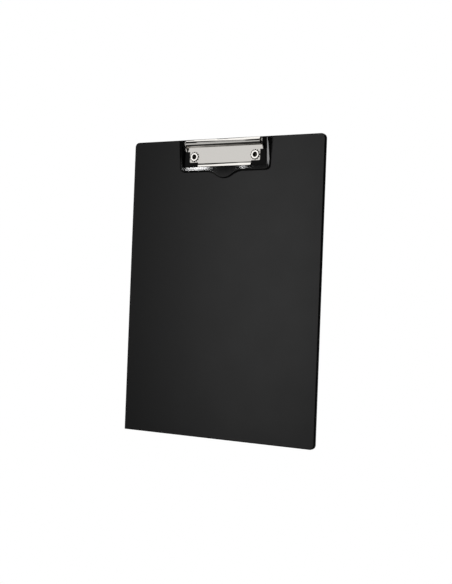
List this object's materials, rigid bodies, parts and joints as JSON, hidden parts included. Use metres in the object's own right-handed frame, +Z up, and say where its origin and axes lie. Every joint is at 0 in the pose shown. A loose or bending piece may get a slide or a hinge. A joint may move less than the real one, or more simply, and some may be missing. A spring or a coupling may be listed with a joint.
{
  "type": "clipboard",
  "caption": "Black A4 clipboard: vinyl-covered board with a nickel-plated base plate and curled barrel, and a sprung black lever frame with a thumb tab.",
  "frame": {"origin": "top of the clip's hinge pin in the middle of its length, where a hook or cord through the hang slot carries the board", "axes": "+Z up along the board's length with the clip at the top, front face towards -Y, +X to the right seen from the front"},
  "size_m": [0.23, 0.0129, 0.3199],
  "materials": {
    "cover_vinyl": "fine-grained semi-matt black vinyl",
    "greyboard": "raw",
    "nickel_plate": "bright nickel plating on pressed steel",
    "black_enamel": "gloss black stove enamel on pressed steel",
    "pin_steel": "drawn wire, plated",
    "spring_steel": "dark hard-drawn wire",
    "eyelet_nickel": "bright nickel plating, rolled"
  },
  "bodies": {
    "board": {"front_cover": "cover_vinyl", "back_cover": "cover_vinyl", "core_board": "greyboard", "clip_base_plate": "nickel_plate", "hinge_pin": "pin_steel", "left_spring": "spring_steel", "right_spring": "spring_steel", "eyelets": "eyelet_nickel", "eyelet_washers": "eyelet_nickel"},
    "lever": {"clip_lever": "black_enamel"}
  },
  "joints": [
    {"name": "lever_hinge", "type": "hinge", "parent": "board", "child": "lever", "pos_m": [0, 0, -0.00125], "axis": [-1, 0, 0], "range_deg": [0, 65], "stiffness_Nm_per_rad": 0.15, "springref_deg": -114.59, "deforming": ["left_spring", "right_spring"]}
  ]
}
